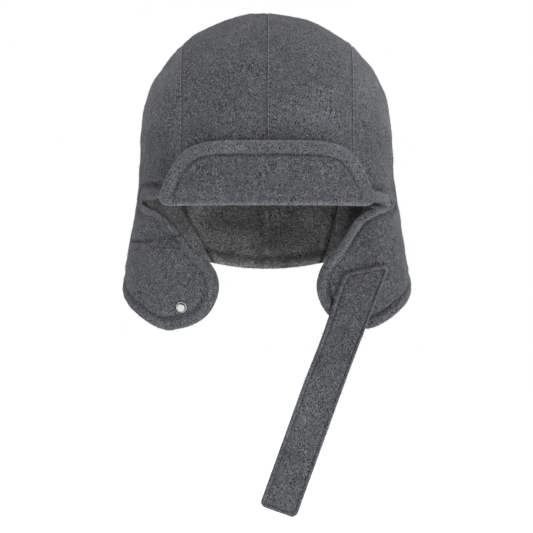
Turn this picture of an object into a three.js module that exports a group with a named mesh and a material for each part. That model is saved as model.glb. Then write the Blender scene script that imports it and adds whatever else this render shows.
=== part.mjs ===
// A baby's lined fleece hat with ear flaps, a turned-up peak and one chin strap, in millimetres.
// +Z is up, the face opening looks along -Y, and +X is the right side as seen from the front.
// The origin is the inside top centre of the lining, where the hat sits on the head.
import * as THREE from "three";
import { mergeVertices } from "three/addons/utils/BufferGeometryUtils.js";

// Cloth thicknesses, and the gap left between pieces that touch on the real hat
const SHELL_CLOTH = 2.2;
const LINING_CLOTH = 2.2;
const CLOTH_GAP = 0.3;

// Outside of the crown, from its widest level up
const CROWN_HEIGHT = 89;
const HALF_WIDTH = 81.6;
const FRONT_DEPTH = 90;
const BACK_DEPTH = 98;
const CROWN_SQUARENESS = 2.15;
const FLAP_SQUARENESS = 2.5;

// How far the edges lie below the widest level
const BROW_DROP = 32;
const NAPE_DROP = 77;
const NAPE_SIDE_DROP = 73;
const FLAP_DROP = 116.4;

// Half width of the two centre panels along their side seams
const SEAM_BROW = 53.4;
const SEAM_TOP = 55.5;
const SEAM_BACK = 58;
const SEAM_NAPE = 37;

// Turned-up peak: sewn on at the brow hem, folded up in front of the crown
const PEAK_HALF_WIDTH = 62.8;
const PEAK_HEIGHT = 40;
const PEAK_END_HEIGHT = 7;
const PEAK_FOLD_BELOW_HEM = 5.6;
const PEAK_PADDING = 6;
const PEAK_LEAN = 4;
const PEAK_CORNER = 6;
const PEAK_SHOULDER = 1.1;
const PEAK_END_FULLNESS = 0.6;

// Chin strap, sewn on the right flap; the tilt is what the front view shows. Its sewn end is cut
// at a slant, and the sections come square again over a part of its length.
const STRAP_WIDTH = 24.6;
const STRAP_LENGTH = 165;
const STRAP_PADDING = 4;
const STRAP_END_FULLNESS = 0.7;
const STRAP_CORNER = 4.5;
const STRAP_TILT = 20.2;
const STRAP_END_TURN = 8;
const STRAP_BEND_FROM = 44;
const STRAP_BEND_OVER = 45;
const STRAP_SLANT = 27;
const STRAP_SQUARE_FROM = 40;
const STRAP_SEAT = { across: 56, drop: 95, above: 20 };

// Snap: the stud is on the left flap, the socket on the back of the strap's free end
const STUD_FLANGE = 3.5;
const STUD_FLANGE_HEIGHT = 0.7;
const STUD_BOSS = 2.7;
const STUD_HEIGHT = 2.4;
const STUD_SEAT = { across: 54.2, drop: 101.5 };
const SOCKET_RIM = 2.3;
const SOCKET_HEIGHT = 2.6;
const SOCKET_FLOOR = 0.8;
const SOCKET_BEVEL = 1.1;
const SOCKET_FIT = 0.3;
const SOCKET_FROM_END = 14;

// Mesh fineness
const CENTRE_COLUMNS = 5;
const SIDE_COLUMNS = 12;
const FRONT_ROWS = 12;
const BACK_ROWS = 18;
const PEAK_STATIONS = 13;
const ROUND_SIDES = 20;
const STRAP_STEPS = 10;
const STRAP_BEND_STEPS = 60;
const ARCH_HALVINGS = 40;
const SLOPE_STEP = 0.05;
const LEAST_RING = 1e-6;
const WELD = 1e-4;

// Form of the crown: at is the share of the quarter turn from the top down to the widest level, the
// rest are factors on an ellipsoid's half width and depths
const CROWN_FORM = [
  { at: 0, width: 1.01, front: 1.0, back: 1.0 },
  { at: 0.18, width: 1.012, front: 1.01, back: 1.01 },
  { at: 0.38, width: 1.047, front: 1.03, back: 1.03 },
  { at: 0.55, width: 1.043, front: 1.04, back: 1.04 },
  { at: 0.72, width: 1.035, front: 1.03, back: 1.03 },
  { at: 0.86, width: 1.01, front: 1.01, back: 1.01 },
  { at: 1, width: 1, front: 1, back: 1 },
];

// Form below the widest level: at is the share of FLAP_DROP, the rest are shares of the crown's
// half width and depths
const SKIRT_FORM = [
  { at: 0, width: 1, front: 1, back: 1, square: 0 },
  { at: 0.2, width: 1.02, front: 1.0, back: 0.99, square: 0 },
  { at: 0.29, width: 1.034, front: 0.97, back: 0.965, square: 0.1 },
  { at: 0.37, width: 1.05, front: 0.87, back: 0.94, square: 0.3 },
  { at: 0.46, width: 1.072, front: 0.765, back: 0.91, square: 0.6 },
  { at: 0.6, width: 1.108, front: 0.68, back: 0.86, square: 0.9 },
  { at: 0.77, width: 1.147, front: 0.61, back: 0.81, square: 1 },
  { at: 1, width: 1.155, front: 0.515, back: 0.78, square: 1 },
];

// Front edge of a side panel below its seam: turn is the angle round the head from the front
// centre, fall the share of the way from the brow hem down to the flap's tip
const FLAP_FRONT = [
  { turn: 50, fall: 0 },
  { turn: 59, fall: 0 },
  { turn: 66.5, fall: 0.004 },
  { turn: 71, fall: 0.022 },
  { turn: 71.3, fall: 0.04 },
  { turn: 69.2, fall: 0.057 },
  { turn: 65.5, fall: 0.072 },
  { turn: 58.4, fall: 0.097 },
  { turn: 50.7, fall: 0.134 },
  { turn: 42.6, fall: 0.199 },
  { turn: 35.9, fall: 0.273 },
  { turn: 30.1, fall: 0.357 },
  { turn: 25.2, fall: 0.43 },
  { turn: 19.8, fall: 0.5 },
  { turn: 16.6, fall: 0.573 },
  { turn: 15.2, fall: 0.66 },
  { turn: 15.6, fall: 0.75 },
  { turn: 18, fall: 0.85 },
  { turn: 21.8, fall: 0.92 },
  { turn: 28.2, fall: 0.975 },
  { turn: 36.2, fall: 1 },
];

// Back edge of a side panel from the nape seam round to the flap's tip: fall is the share of the
// way from the hem at that seam down to the tip
const FLAP_BACK = [
  { turn: 148, fall: -0.045 },
  { turn: 134, fall: -0.1 },
  { turn: 121, fall: -0.09 },
  { turn: 110.5, fall: -0.02 },
  { turn: 102, fall: 0.1 },
  { turn: 95, fall: 0.235 },
  { turn: 88, fall: 0.375 },
  { turn: 81.2, fall: 0.49 },
  { turn: 74, fall: 0.586 },
  { turn: 67.9, fall: 0.668 },
  { turn: 61, fall: 0.752 },
  { turn: 54.6, fall: 0.834 },
  { turn: 48.1, fall: 0.917 },
  { turn: 42, fall: 0.977 },
  { turn: 36.2, fall: 1 },
];

// Section through the peak: rise is the share of its height above the fold, pad the share of its
// padding out from its inner face
const PEAK_OUTSIDE = [
  { rise: 0, pad: 0.45 },
  { rise: 0.03, pad: 0.8 },
  { rise: 0.1, pad: 1 },
  { rise: 0.45, pad: 1.04 },
  { rise: 0.8, pad: 1 },
  { rise: 0.93, pad: 0.9 },
  { rise: 0.985, pad: 0.7 },
  { rise: 1, pad: 0.4 },
  { rise: 0.975, pad: 0.1 },
];
const PEAK_INSIDE = [0.88, 0.55, 0.25];

// The part of the peak that is sewn in under the hem: inward is the share of the hat's wall, down
// the share of the way from the hem to the fold
const PEAK_UNDER = [
  { inward: 0, down: 0 },
  { inward: 1, down: 0 },
  { inward: 1, down: 0.45 },
  { inward: 0.5, down: 0.85 },
];

// Right half of the strap's section, from its back face to its front face, as shares of its half
// width and its padding
const STRAP_OUTLINE = [
  [0.93, 0],
  [1, 0.3],
  [1, 0.65],
  [0.92, 0.95],
  [0.4, 1],
];

// Where the strap's rounded ends have sections, as shares of the corner's radius
const STRAP_CORNER_STEPS = [0, 0.15, 0.45, 1];

// The stud above its flange: out is a share of its boss, rise the share of the way to its top
const STUD_FORM = [
  { out: 0.81, rise: 0 },
  { out: 1, rise: 0.45 },
  { out: 0.97, rise: 0.8 },
  { out: 0.8, rise: 1 },
  { out: 0, rise: 1 },
];

const TOP = SHELL_CLOTH + CLOTH_GAP + LINING_CLOTH;
const WIDEST = TOP - CROWN_HEIGHT;
const BROW = WIDEST - BROW_DROP;
const NAPE_SIDE = WIDEST - NAPE_SIDE_DROP;
const TIP = WIDEST - FLAP_DROP;
const QUARTER_TURN = Math.PI / 2;
const DEGREE = Math.PI / 180;

const MATERIALS = {
  shell: { color: 0x5a5b60, roughness: 0.95, metalness: 0 },
  lining: { color: 0x4b4b4c, roughness: 0.95, metalness: 0 },
  metal: { color: 0xa9aaa7, roughness: 0.3, metalness: 1 },
};

// Smooth interpolation between the rows of a table, by their at column
function along(table, at) {
  const last = table.length - 1;
  const place = Math.min(Math.max(at, table[0].at), table[last].at);
  let i = 0;
  while (i < last - 1 && table[i + 1].at < place) i += 1;
  const [a, b] = [table[i], table[i + 1]];
  const [before, after] = [table[Math.max(i - 1, 0)], table[Math.min(i + 2, last)]];
  const span = b.at - a.at;
  const t = (place - a.at) / span;
  const row = {};
  for (const key of Object.keys(a)) {
    const leave = ((b[key] - before[key]) / (b.at - before.at)) * span;
    const arrive = ((after[key] - a[key]) / (after.at - a.at)) * span;
    row[key] =
      (2 * t ** 3 - 3 * t ** 2 + 1) * a[key] +
      (t ** 3 - 2 * t ** 2 + t) * leave +
      (3 * t ** 2 - 2 * t ** 3) * b[key] +
      (t ** 3 - t ** 2) * arrive;
  }
  return row;
}

const mix = (a, b, t) => a + (b - a) * t;

// Half width, depths and squareness of the hat's outside at a height
function section(z) {
  if (z >= WIDEST) {
    const turn = Math.acos(Math.min((z - WIDEST) / CROWN_HEIGHT, 1));
    const ring = Math.max(Math.sin(turn), LEAST_RING);
    const form = along(CROWN_FORM, turn / QUARTER_TURN);
    return {
      half: HALF_WIDTH * ring * form.width,
      front: FRONT_DEPTH * ring * form.front,
      back: BACK_DEPTH * ring * form.back,
      square: CROWN_SQUARENESS,
    };
  }
  const form = along(SKIRT_FORM, (WIDEST - z) / FLAP_DROP);
  return {
    half: HALF_WIDTH * form.width,
    front: FRONT_DEPTH * form.front,
    back: BACK_DEPTH * form.back,
    square: mix(CROWN_SQUARENESS, FLAP_SQUARENESS, form.square),
  };
}

// Under 0 inside the hat's outside form, over 0 out of it
function level(x, y, z) {
  const s = section(z);
  const depth = y < 0 ? s.front : s.back;
  return (Math.abs(x) / s.half) ** s.square + (Math.abs(y) / depth) ** s.square - 1;
}

function outward(p) {
  const step = SLOPE_STEP;
  return new THREE.Vector3(
    level(p.x + step, p.y, p.z) - level(p.x - step, p.y, p.z),
    level(p.x, p.y + step, p.z) - level(p.x, p.y - step, p.z),
    level(p.x, p.y, p.z + step) - level(p.x, p.y, p.z - step),
  ).normalize();
}

// The point of the outside form at an angle round the head from the front centre
function onRing(side, turn, z) {
  const s = section(z);
  const power = 2 / s.square;
  const ahead = Math.cos(turn * DEGREE);
  const depth = ahead > 0 ? -s.front : s.back;
  const x = side * s.half * Math.sin(turn * DEGREE) ** power;
  return new THREE.Vector3(x, depth * Math.abs(ahead) ** power, z);
}

// The point of the outside form at a width and height, on the front or the back
function onFace(x, z, back) {
  const s = section(z);
  const depth = back ? s.back : -s.front;
  const rest = Math.max(1 - (Math.abs(x) / s.half) ** s.square, 0);
  return new THREE.Vector3(x, depth * rest ** (1 / s.square), z);
}

// The point of the crown at a width and an angle over the top, from 0 at the front to a half turn
function onArch(x, over) {
  let [near, far] = [0, 2 * Math.max(CROWN_HEIGHT, FRONT_DEPTH, BACK_DEPTH)];
  for (let i = 0; i < ARCH_HALVINGS; i += 1) {
    const middle = (near + far) / 2;
    const [y, z] = [-middle * Math.cos(over), WIDEST + middle * Math.sin(over)];
    if (z < WIDEST + CROWN_HEIGHT && level(x, y, z) < 0) near = middle;
    else far = middle;
  }
  return new THREE.Vector3(x, -near * Math.cos(over), WIDEST + near * Math.sin(over));
}

// Stations along the side seam, from its top over the crown down to the brow or to the nape
function seamStations(rows, drop, back) {
  const arch = QUARTER_TURN * CROWN_HEIGHT;
  const stations = [];
  for (let i = 0; i <= rows; i += 1) {
    const way = (i / rows) * (arch + drop);
    const lean = Math.min(way / CROWN_HEIGHT, QUARTER_TURN);
    const below = Math.max(way - arch, 0);
    stations.push({ over: QUARTER_TURN + (back ? lean : -lean), below, share: below / drop });
  }
  return stations;
}

const FRONT_STATIONS = seamStations(FRONT_ROWS, BROW_DROP, false);
const BACK_STATIONS = seamStations(BACK_ROWS, NAPE_SIDE_DROP, true);

// Half width of the centre panels at a station
function seamAt(station, back) {
  const side = back ? SEAM_BACK : SEAM_BROW;
  if (station.below === 0) return mix(SEAM_TOP, side, Math.abs(Math.cos(station.over)));
  return back ? mix(SEAM_BACK, SEAM_NAPE, station.share ** 2) : SEAM_BROW;
}

// A point of the outside form at a station, at a width of its own
function atStation(station, back, x, reach) {
  if (station.below === 0) return onArch(x, station.over);
  return onFace(x, WIDEST - station.below * reach, back);
}

// Turns a point of the outside form into an angle round the head and a height
function ringPlace(p) {
  const s = section(p.z);
  const depth = p.y < 0 ? s.front : s.back;
  const across = (Math.abs(p.x) / s.half) ** (s.square / 2);
  const ahead = (Math.abs(p.y) / depth) ** (s.square / 2);
  const turn = Math.atan2(across, ahead) / DEGREE;
  return { turn: p.y < 0 ? turn : 180 - turn, z: p.z };
}

// A centre panel, from the brow hem over the top to the nape hem, as rows of outside points
function centreRows(side) {
  const rows = [];
  const add = (station, back) => {
    const edge = seamAt(station, back) - CLOTH_GAP / 2;
    const row = [];
    for (let j = 0; j <= CENTRE_COLUMNS; j += 1) {
      const x = mix(CLOTH_GAP / 2, edge, j / CENTRE_COLUMNS);
      const lower = (NAPE_DROP / NAPE_SIDE_DROP - 1) * (1 - (x / edge) ** 2);
      row.push(atStation(station, back, side * x, back ? 1 + lower * station.share : 1));
    }
    rows.push(row);
  };
  for (const station of FRONT_STATIONS.slice(1).reverse()) add(station, false);
  for (const station of BACK_STATIONS) add(station, true);
  return rows;
}

// A side panel with its ear flap, as rows from its front edge to its back edge
function sideRows(side) {
  const seam = (station, back) =>
    ringPlace(atStation(station, back, seamAt(station, back) + CLOTH_GAP / 2, 1));
  const edge = (top) => (row) => ({ turn: row.turn, z: mix(top, TIP, row.fall) });
  const front = [
    ...FRONT_STATIONS.map((s) => seam(s, false)),
    ...FLAP_FRONT.map(edge(BROW)),
  ];
  const back = [
    ...BACK_STATIONS.map((s) => seam(s, true)),
    ...FLAP_BACK.map(edge(NAPE_SIDE)),
  ];
  return front.map((a, i) => {
    const b = back[i];
    const row = [];
    for (let j = 0; j <= SIDE_COLUMNS; j += 1) {
      const t = j / SIDE_COLUMNS;
      row.push(onRing(side, mix(a.turn, b.turn, t), mix(a.z, b.z, t)));
    }
    return row;
  });
}

// Closes vertices and triangles into one body that faces out, without triangles of no area
function solid(points, faces) {
  const loose = new THREE.BufferGeometry().setFromPoints(points);
  loose.setIndex(faces.flat());
  const merged = mergeVertices(loose, WELD);
  const index = merged.index.array;
  const at = (i) => new THREE.Vector3().fromBufferAttribute(merged.attributes.position, i);
  const kept = [];
  let volume = 0;
  for (let i = 0; i < index.length; i += 3) {
    const [a, b, c] = index.subarray(i, i + 3);
    if (a === b || b === c || c === a) continue;
    kept.push([a, b, c]);
    volume += at(a).dot(at(b).cross(at(c)));
  }
  merged.setIndex((volume < 0 ? kept.map((f) => f.reverse()) : kept).flat());
  return merged;
}

// A layer of cloth between two depths below the outside form
function clothSheet(rows, outer, inner) {
  const columns = rows[0].length;
  const points = [];
  for (const depth of [outer, inner])
    for (const p of rows.flat()) points.push(p.clone().addScaledVector(outward(p), -depth));
  const under = rows.length * columns;
  const faces = [];
  const quad = (a, b, c, d) => faces.push([a, b, c], [a, c, d]);
  const at = (i, j) => i * columns + j;
  for (let i = 0; i < rows.length - 1; i += 1) {
    for (let j = 0; j < columns - 1; j += 1) {
      const [a, b, c, d] = [at(i, j), at(i + 1, j), at(i + 1, j + 1), at(i, j + 1)];
      quad(a, b, c, d);
      quad(under + a, under + d, under + c, under + b);
    }
    const [a, b] = [at(i, 0), at(i + 1, 0)];
    quad(b, a, under + a, under + b);
    const [c, d] = [at(i, columns - 1), at(i + 1, columns - 1)];
    quad(c, d, under + d, under + c);
  }
  for (let j = 0; j < columns - 1; j += 1) {
    const [a, b] = [at(0, j), at(0, j + 1)];
    quad(a, b, under + b, under + a);
    const [c, d] = [at(rows.length - 1, j), at(rows.length - 1, j + 1)];
    quad(d, c, under + c, under + d);
  }
  return solid(points, faces);
}

// The peak's section at one width, as closed loops of distance from the crown and height
function peakSection(share) {
  const end = Math.abs(share) ** PEAK_CORNER;
  const height = mix(PEAK_END_HEIGHT, PEAK_HEIGHT, (1 - end) ** PEAK_SHOULDER);
  const padding = PEAK_PADDING * mix(1, PEAK_END_FULLNESS, end);
  const fold = BROW - PEAK_FOLD_BELOW_HEM;
  const lean = (rise) => CLOTH_GAP + PEAK_LEAN * ((rise * height) / PEAK_HEIGHT) ** 2;
  const hem = BROW - CLOTH_GAP;
  const loop = PEAK_OUTSIDE.map((row) => [
    lean(row.rise) + row.pad * padding,
    fold + row.rise * height,
  ]);
  for (const rise of PEAK_INSIDE) {
    const z = mix(BROW, fold + height, rise);
    loop.push([lean((z - fold) / height), z]);
  }
  for (const row of PEAK_UNDER)
    loop.push([mix(CLOTH_GAP, -TOP, row.inward), mix(hem, fold, row.down)]);
  return loop.map(([distance, z]) => new THREE.Vector2(distance, z));
}

function peak() {
  const loops = [];
  for (let i = -PEAK_STATIONS; i <= PEAK_STATIONS; i += 1) {
    const share = Math.sin((QUARTER_TURN * i) / PEAK_STATIONS);
    const x = share * PEAK_HALF_WIDTH;
    const away = outward(onFace(x, BROW, false)).setZ(0).normalize();
    loops.push(
      peakSection(share).map((p) => {
        const point = onFace(x, Math.max(p.y, BROW), false).setZ(p.y);
        return point.addScaledVector(away, p.x);
      }),
    );
  }
  return loft(loops, peakSection(1));
}

// Joins equal closed loops into one body with flat caps; outline is an end loop laid flat
function loft(loops, outline) {
  const size = outline.length;
  const last = (loops.length - 1) * size;
  const faces = [];
  for (let start = 0; start < last; start += size) {
    for (let k = 0; k < size; k += 1) {
      const next = (k + 1) % size;
      const [a, b, c, d] = [start + k, start + next, start + size + next, start + size + k];
      faces.push([a, b, c], [a, c, d]);
    }
  }
  const winding = Math.sign(THREE.ShapeUtils.area(outline));
  for (const cap of THREE.ShapeUtils.triangulateShape(outline, [])) {
    const same = Math.sign(THREE.ShapeUtils.area(cap.map((k) => outline[k]))) === winding;
    const ordered = same ? cap : cap.slice().reverse();
    faces.push(ordered.slice().reverse(), ordered.map((k) => last + k));
  }
  return solid(loops.flat(), faces);
}

// The strap's back face at a distance from its sewn end: it lies flat on the flap, then bends
// forward below it to hang plumb, and keeps its tilt in the front view all the way
function strapPlace(place) {
  const seat = onFace(STRAP_SEAT.across, WIDEST - STRAP_SEAT.drop, false);
  const flapAway = outward(seat);
  const down = new THREE.Vector3(-Math.sin(STRAP_TILT * DEGREE), 0, -Math.cos(STRAP_TILT * DEGREE));
  const lean = -(down.x * flapAway.x + down.z * flapAway.z) / flapAway.y;
  const bentAt = (past) => THREE.MathUtils.smoothstep(past - STRAP_BEND_FROM, 0, STRAP_BEND_OVER);
  const headingAt = (past) => down.clone().setY(lean * (1 - bentAt(past))).normalize();
  const point = seat.addScaledVector(flapAway, CLOTH_GAP);
  point.addScaledVector(headingAt(0), -STRAP_SEAT.above);
  const step = place / STRAP_BEND_STEPS;
  for (let i = 0; i < STRAP_BEND_STEPS; i += 1)
    point.addScaledVector(headingAt((i + 0.5) * step), step);
  const heading = headingAt(place);
  const turn = STRAP_END_TURN * DEGREE;
  const facing = new THREE.Vector3(Math.sin(turn), -Math.cos(turn), 0);
  const away = flapAway.lerp(facing, bentAt(place));
  away.addScaledVector(heading, -away.dot(heading)).normalize();
  return { point, away, heading, across: new THREE.Vector3().crossVectors(away, heading) };
}

// The padded strap, as sections along its length with round corners at both ends
function strap() {
  const corner = STRAP_CORNER_STEPS.map((share) => share * STRAP_CORNER);
  const between = STRAP_LENGTH - 2 * STRAP_CORNER;
  const places = [...corner];
  for (let i = 1; i < STRAP_STEPS; i += 1) places.push(STRAP_CORNER + (i / STRAP_STEPS) * between);
  places.push(...corner.reverse().map((place) => STRAP_LENGTH - place));
  const loops = places.map((place) => {
    const { point, away, heading, across } = strapPlace(place);
    const slanted = 1 - THREE.MathUtils.smoothstep(place, 0, STRAP_SQUARE_FROM);
    const rise = slanted * Math.tan(STRAP_SLANT * DEGREE);
    across.addScaledVector(heading, -rise);
    const fromEnd = Math.min(place, STRAP_LENGTH - place, STRAP_CORNER);
    const rounding = STRAP_CORNER - Math.sqrt(STRAP_CORNER ** 2 - (STRAP_CORNER - fromEnd) ** 2);
    const half = STRAP_WIDTH / 2 - rounding;
    const thick = STRAP_PADDING * mix(STRAP_END_FULLNESS, 1, fromEnd / STRAP_CORNER);
    return strapSection(half, thick).map((p) =>
      point.clone().addScaledVector(across, p.x).addScaledVector(away, p.y),
    );
  });
  return loft(loops, strapSection(STRAP_WIDTH / 2, STRAP_PADDING));
}

// A flat padded section with soft edges, standing on its back face
function strapSection(half, thick) {
  const outline = [];
  for (const [out, up] of STRAP_OUTLINE) outline.push(new THREE.Vector2(out * half, up * thick));
  for (const [out, up] of STRAP_OUTLINE.slice().reverse())
    outline.push(new THREE.Vector2(-out * half, up * thick));
  return outline;
}

function turned(profile) {
  const outline = profile.map(([radius, height]) => new THREE.Vector2(radius, height));
  return new THREE.LatheGeometry(outline, ROUND_SIDES).rotateX(QUARTER_TURN);
}

// Stud with its flange, standing along +Z
function stud() {
  return turned([
    [0, 0],
    [STUD_FLANGE, 0],
    [STUD_FLANGE, STUD_FLANGE_HEIGHT],
    ...STUD_FORM.map((row) => [
      row.out * STUD_BOSS,
      mix(STUD_FLANGE_HEIGHT, STUD_HEIGHT, row.rise),
    ]),
  ]);
}

// Plain socket that the stud would enter, opening along +Z
function socket() {
  const bore = STUD_BOSS + SOCKET_FIT;
  return turned([
    [0, 0],
    [bore + SOCKET_RIM, 0],
    [bore + SOCKET_RIM, SOCKET_HEIGHT - SOCKET_BEVEL],
    [bore + SOCKET_RIM - SOCKET_BEVEL, SOCKET_HEIGHT],
    [bore, SOCKET_HEIGHT],
    [bore, SOCKET_FLOOR],
    [0, SOCKET_FLOOR],
  ]);
}

function piece(name, geometry, kind) {
  geometry.computeVertexNormals();
  const mesh = new THREE.Mesh(geometry, new THREE.MeshStandardMaterial(MATERIALS[kind]));
  mesh.name = name;
  return mesh;
}

// Stands an object a cloth gap off a face, its own Z away from the face
function standOn(object, point, away) {
  object.position.copy(point).addScaledVector(away, CLOTH_GAP);
  object.quaternion.setFromUnitVectors(new THREE.Vector3(0, 0, 1), away);
}

const hat = new THREE.Group();
const shellInside = SHELL_CLOTH + CLOTH_GAP;
for (const [label, side] of [["left", -1], ["right", 1]]) {
  const [centre, flank] = [centreRows(side), sideRows(side)];
  hat.add(piece(`crown_panel_${label}`, clothSheet(centre, 0, SHELL_CLOTH), "shell"));
  hat.add(piece(`side_panel_${label}`, clothSheet(flank, 0, SHELL_CLOTH), "shell"));
  hat.add(piece(`lining_centre_${label}`, clothSheet(centre, shellInside, TOP), "lining"));
  hat.add(piece(`lining_side_${label}`, clothSheet(flank, shellInside, TOP), "lining"));
}
hat.add(piece("peak", peak(), "shell"));

hat.add(piece("chin_strap", strap(), "shell"));

const socketSeat = new THREE.Group();
const socketPlace = strapPlace(STRAP_LENGTH - SOCKET_FROM_END);
standOn(socketSeat, socketPlace.point, socketPlace.away.negate());
socketSeat.add(piece("snap_socket", socket(), "metal"));
hat.add(socketSeat);

const studSeat = new THREE.Group();
const studPoint = onFace(-STUD_SEAT.across, WIDEST - STUD_SEAT.drop, false);
standOn(studSeat, studPoint, outward(studPoint));
studSeat.add(piece("snap_stud", stud(), "metal"));
hat.add(studSeat);

export default hat;
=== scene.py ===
import math

import bmesh
import bpy
import numpy as np
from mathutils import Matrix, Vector
from mathutils.kdtree import KDTree


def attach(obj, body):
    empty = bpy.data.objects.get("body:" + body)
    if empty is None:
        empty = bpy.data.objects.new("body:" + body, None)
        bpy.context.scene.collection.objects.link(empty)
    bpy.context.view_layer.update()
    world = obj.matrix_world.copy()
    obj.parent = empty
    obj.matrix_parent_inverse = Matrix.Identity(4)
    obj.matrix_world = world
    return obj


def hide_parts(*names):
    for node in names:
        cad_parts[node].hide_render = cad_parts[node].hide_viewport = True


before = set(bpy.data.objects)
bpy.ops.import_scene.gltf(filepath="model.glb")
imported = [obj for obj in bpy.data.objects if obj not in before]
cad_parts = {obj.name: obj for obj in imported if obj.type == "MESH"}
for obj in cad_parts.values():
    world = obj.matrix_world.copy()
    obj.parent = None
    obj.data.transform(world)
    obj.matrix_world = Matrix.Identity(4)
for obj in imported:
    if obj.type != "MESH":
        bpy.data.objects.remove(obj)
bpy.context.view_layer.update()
rng = np.random.default_rng(7)
MM = 0.001
HAIR_SCALE = 2450

# Sizes of the outside form: those of the solids, with the nape 1 mm lower for its rolled edge
SHELL_CLOTH = 2.2
LINING_CLOTH = 2.2
CLOTH_GAP = 0.3
WALL = SHELL_CLOTH + CLOTH_GAP + LINING_CLOTH
CROWN_HEIGHT = 89
HALF_WIDTH = 81.6
FRONT_DEPTH = 90
BACK_DEPTH = 98
CROWN_SQUARENESS = 2.15
FLAP_SQUARENESS = 2.5
BROW_DROP = 32
NAPE_DROP = 78
NAPE_SIDE_DROP = 74
FLAP_DROP = 116.4
SEAM_BROW = 53.4
SEAM_TOP = 55.5
WIDEST = WALL - CROWN_HEIGHT
BROW = WIDEST - BROW_DROP
NAPE_SIDE = WIDEST - NAPE_SIDE_DROP
TIP = WIDEST - FLAP_DROP
FRONT_ROWS = 12
BACK_ROWS = 18

# at, width, front, back
CROWN_FORM = np.array([
    [0, 1.01, 1.0, 1.0],
    [0.18, 1.012, 1.01, 1.01],
    [0.38, 1.047, 1.03, 1.03],
    [0.55, 1.043, 1.04, 1.04],
    [0.72, 1.035, 1.03, 1.03],
    [0.86, 1.01, 1.01, 1.01],
    [1, 1, 1, 1],
])
# at, width, front, back, square
SKIRT_FORM = np.array([
    [0, 1, 1, 1, 0],
    [0.2, 1.02, 1.0, 0.99, 0],
    [0.29, 1.034, 0.97, 0.965, 0.1],
    [0.37, 1.05, 0.87, 0.94, 0.3],
    [0.46, 1.069, 0.765, 0.91, 0.6],
    [0.6, 1.104, 0.68, 0.86, 0.9],
    [0.77, 1.143, 0.61, 0.81, 1],
    [1, 1.152, 0.515, 0.78, 1],
])
# Front edge of a side panel below its seam: turn round the head, fall from the brow to the tip.
# At the temple it turns back under the hem, and the right one sits lower and more closed.
TEMPLE = {
    -1: [[50, 0], [59, 0], [66.5, 0.004], [71, 0.022], [71.3, 0.04], [69.2, 0.057], [65.5, 0.072]],
    1: [[50, 0.022], [55, 0.038], [59.5, 0.044], [61.8, 0.05], [62, 0.058], [60.5, 0.067], [58, 0.08]],
}
FLAP_FRONT = np.array([
    [58.4, 0.097], [50.7, 0.134], [42.6, 0.199], [35.9, 0.273], [30.1, 0.357], [25.2, 0.43],
    [19.8, 0.5], [16.6, 0.573], [15.2, 0.66], [15.6, 0.75], [18, 0.85], [21.8, 0.92],
    [28.2, 0.972], [36.2, 0.992],
])
# How much further forward the right flap's front edge lies, in degrees of turn: row, turn
RIGHT_FORWARD = np.array([[19, 4.5], [20, 4.6], [21, 4.2], [23, 2.6], [25, 1.2], [27, 0]])
TIP_ROW = FRONT_ROWS + len(TEMPLE[1]) + len(FLAP_FRONT)
# Back edge of a side panel: turn round the head, fall from the nape seam to the tip
FLAP_BACK = np.array([
    [148, -0.045], [134, -0.1], [121, -0.09], [110.5, -0.02], [102, 0.1], [95, 0.235],
    [88, 0.375], [81.2, 0.49], [74, 0.586], [67.9, 0.668], [61, 0.752], [54.6, 0.834],
    [48.1, 0.915], [42, 0.972], [36.2, 0.992],
])

# How far the pile and the turned edge stand past the solid's edge
EDGE_PUSH = {-1: 0.8, 1: 0.1}

# Half width of the back side seams: share of the way down to the nape, half width. The left one
# hangs wider than the right one, as the hat is put on a little turned.
BACK_SEAM = {
    -1: np.array([[0, 60], [0.3, 61], [0.485, 59.4], [0.66, 51.9], [0.81, 45.2], [1, 36.8]]),
    1: np.array([[0, 57], [0.3, 54.3], [0.49, 49.6], [0.67, 46], [0.89, 41], [1, 37.2]]),
}

# Rim of the free edge, by the panel's row: from the brow seam (12) along the temple and the
# flap's front edge to its tip (33), then along its back edge to the nape seam (48).
# row, distance of the stitched groove from the edge, its depth, how far the rim puffs up
RIM_FORM = {
    -1: np.array([
        [12, 8.4, 1.2, 0.8], [13, 8.6, 2.0, 1.6], [15, 10, 1.8, 1.8], [16, 10, 0.8, 1.0],
        [17, 8, 0.2, 0.3], [19, 5, 0.2, 0.2], [22, 5, 0.3, 0.3], [24, 6, 0.5, 0.5],
        [26, 7.2, 0.8, 0.8], [28, 8, 1.2, 1.1], [33, 8.2, 1.2, 1.1], [38, 8, 0.8, 0.9],
        [42, 8, 0.5, 0.8], [48, 8, 1.0, 1.0],
    ]),
    1: np.array([
        [12, 8.4, 1.2, 0.8], [13, 8.4, 1.9, 1.5], [14.5, 8.6, 1.9, 1.8], [15.5, 8, 0.4, 1.6],
        [16.6, 7, 0.4, 1.6], [17.8, 5.2, 1.6, 1.7], [19, 4.6, 1.5, 1.6], [22, 4.4, 1.2, 1.3],
        [24.5, 5.6, 0.8, 1.0], [26.5, 7, 0.9, 1.0], [28.5, 8, 1.2, 1.1], [33, 8.2, 1.4, 1.2],
        [38, 8, 1.3, 1.1], [42, 8, 0.9, 0.9], [48, 8, 1.0, 1.0],
    ]),
}

# How the edge rolls in, by the panel's row: row, radius of the roll, how deep the shell reaches
# before the lining takes over. On the right the temple's rim is rolled over as a soft lip.
ROLL_FORM = {
    -1: np.array([[12, 2.6, 2.2], [15, 2.0, 1.8], [16.5, 1.0, 0.9], [24, 1.2, 1.1], [28, 2.4, 2.2],
                  [48, 2.6, 3.4]]),
    1: np.array([[12, 2.6, 2.2], [14.5, 4.0, 3.6], [17, 5.2, 4.6], [21, 5.2, 4.6], [25, 4.0, 3.4],
                 [29, 2.6, 2.4], [48, 2.6, 3.4]]),
}


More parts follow.
